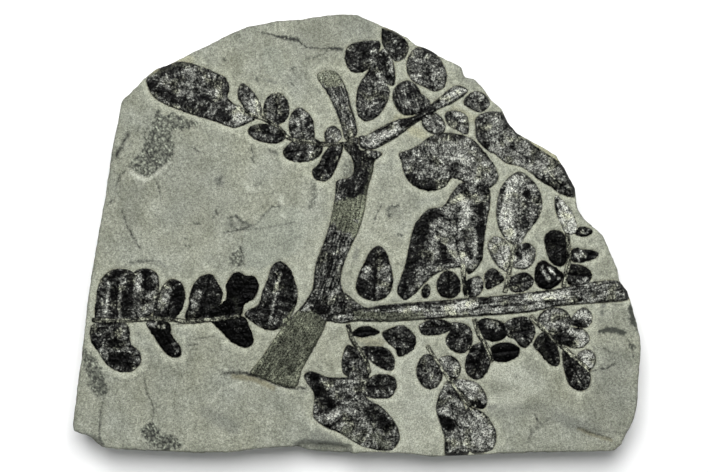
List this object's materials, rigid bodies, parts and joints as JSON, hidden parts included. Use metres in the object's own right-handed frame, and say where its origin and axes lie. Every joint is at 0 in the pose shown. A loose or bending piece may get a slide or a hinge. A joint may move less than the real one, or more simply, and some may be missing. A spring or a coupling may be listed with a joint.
{
  "type": "fossil fern plate",
  "caption": "Flat slab of grey-green shale with the black coal film of a seed fern's stem, branches and leaflets in shallow pockets cleared round them.",
  "frame": {"origin": "on the flat back that the slab lies on, under the middle of its outline", "axes": "+Z out of the fossil face, +Y towards the frond's growing tip, +X to the right across the face"},
  "size_m": [0.1762, 0.1376, 0.0164],
  "materials": {
    "shale": "dry split shale, matt, fine grained",
    "coal_film": "glossy to silvery coal film with fine veins"
  },
  "bodies": {
    "root": {"slab": "shale", "main_stem": "coal_film", "stem_tip": "coal_film", "branch_upper_right": "coal_film", "branch_lower_right": "coal_film", "pinna_upper_left": "coal_film", "pinna_lower_left": "coal_film", "pinna_top": "coal_film", "pinna_right_edge": "coal_film", "pinna_middle": "coal_film", "pinna_inner_right": "coal_film", "pinna_outer_right": "coal_film", "pinna_below_stem": "coal_film", "pinna_lower_edge": "coal_film", "pinna_lower_middle": "coal_film", "pinna_lower_outer": "coal_film", "leaflet_upper_edge": "coal_film", "leaflet_under_branch": "coal_film", "leaflet_branch_end": "coal_film", "leaflet_centre": "coal_film", "leaflet_middle_left": "coal_film", "leaflet_middle_right": "coal_film", "leaflet_below_branch": "coal_film", "leaflet_pair_below_branch": "coal_film"}
  },
  "joints": []
}
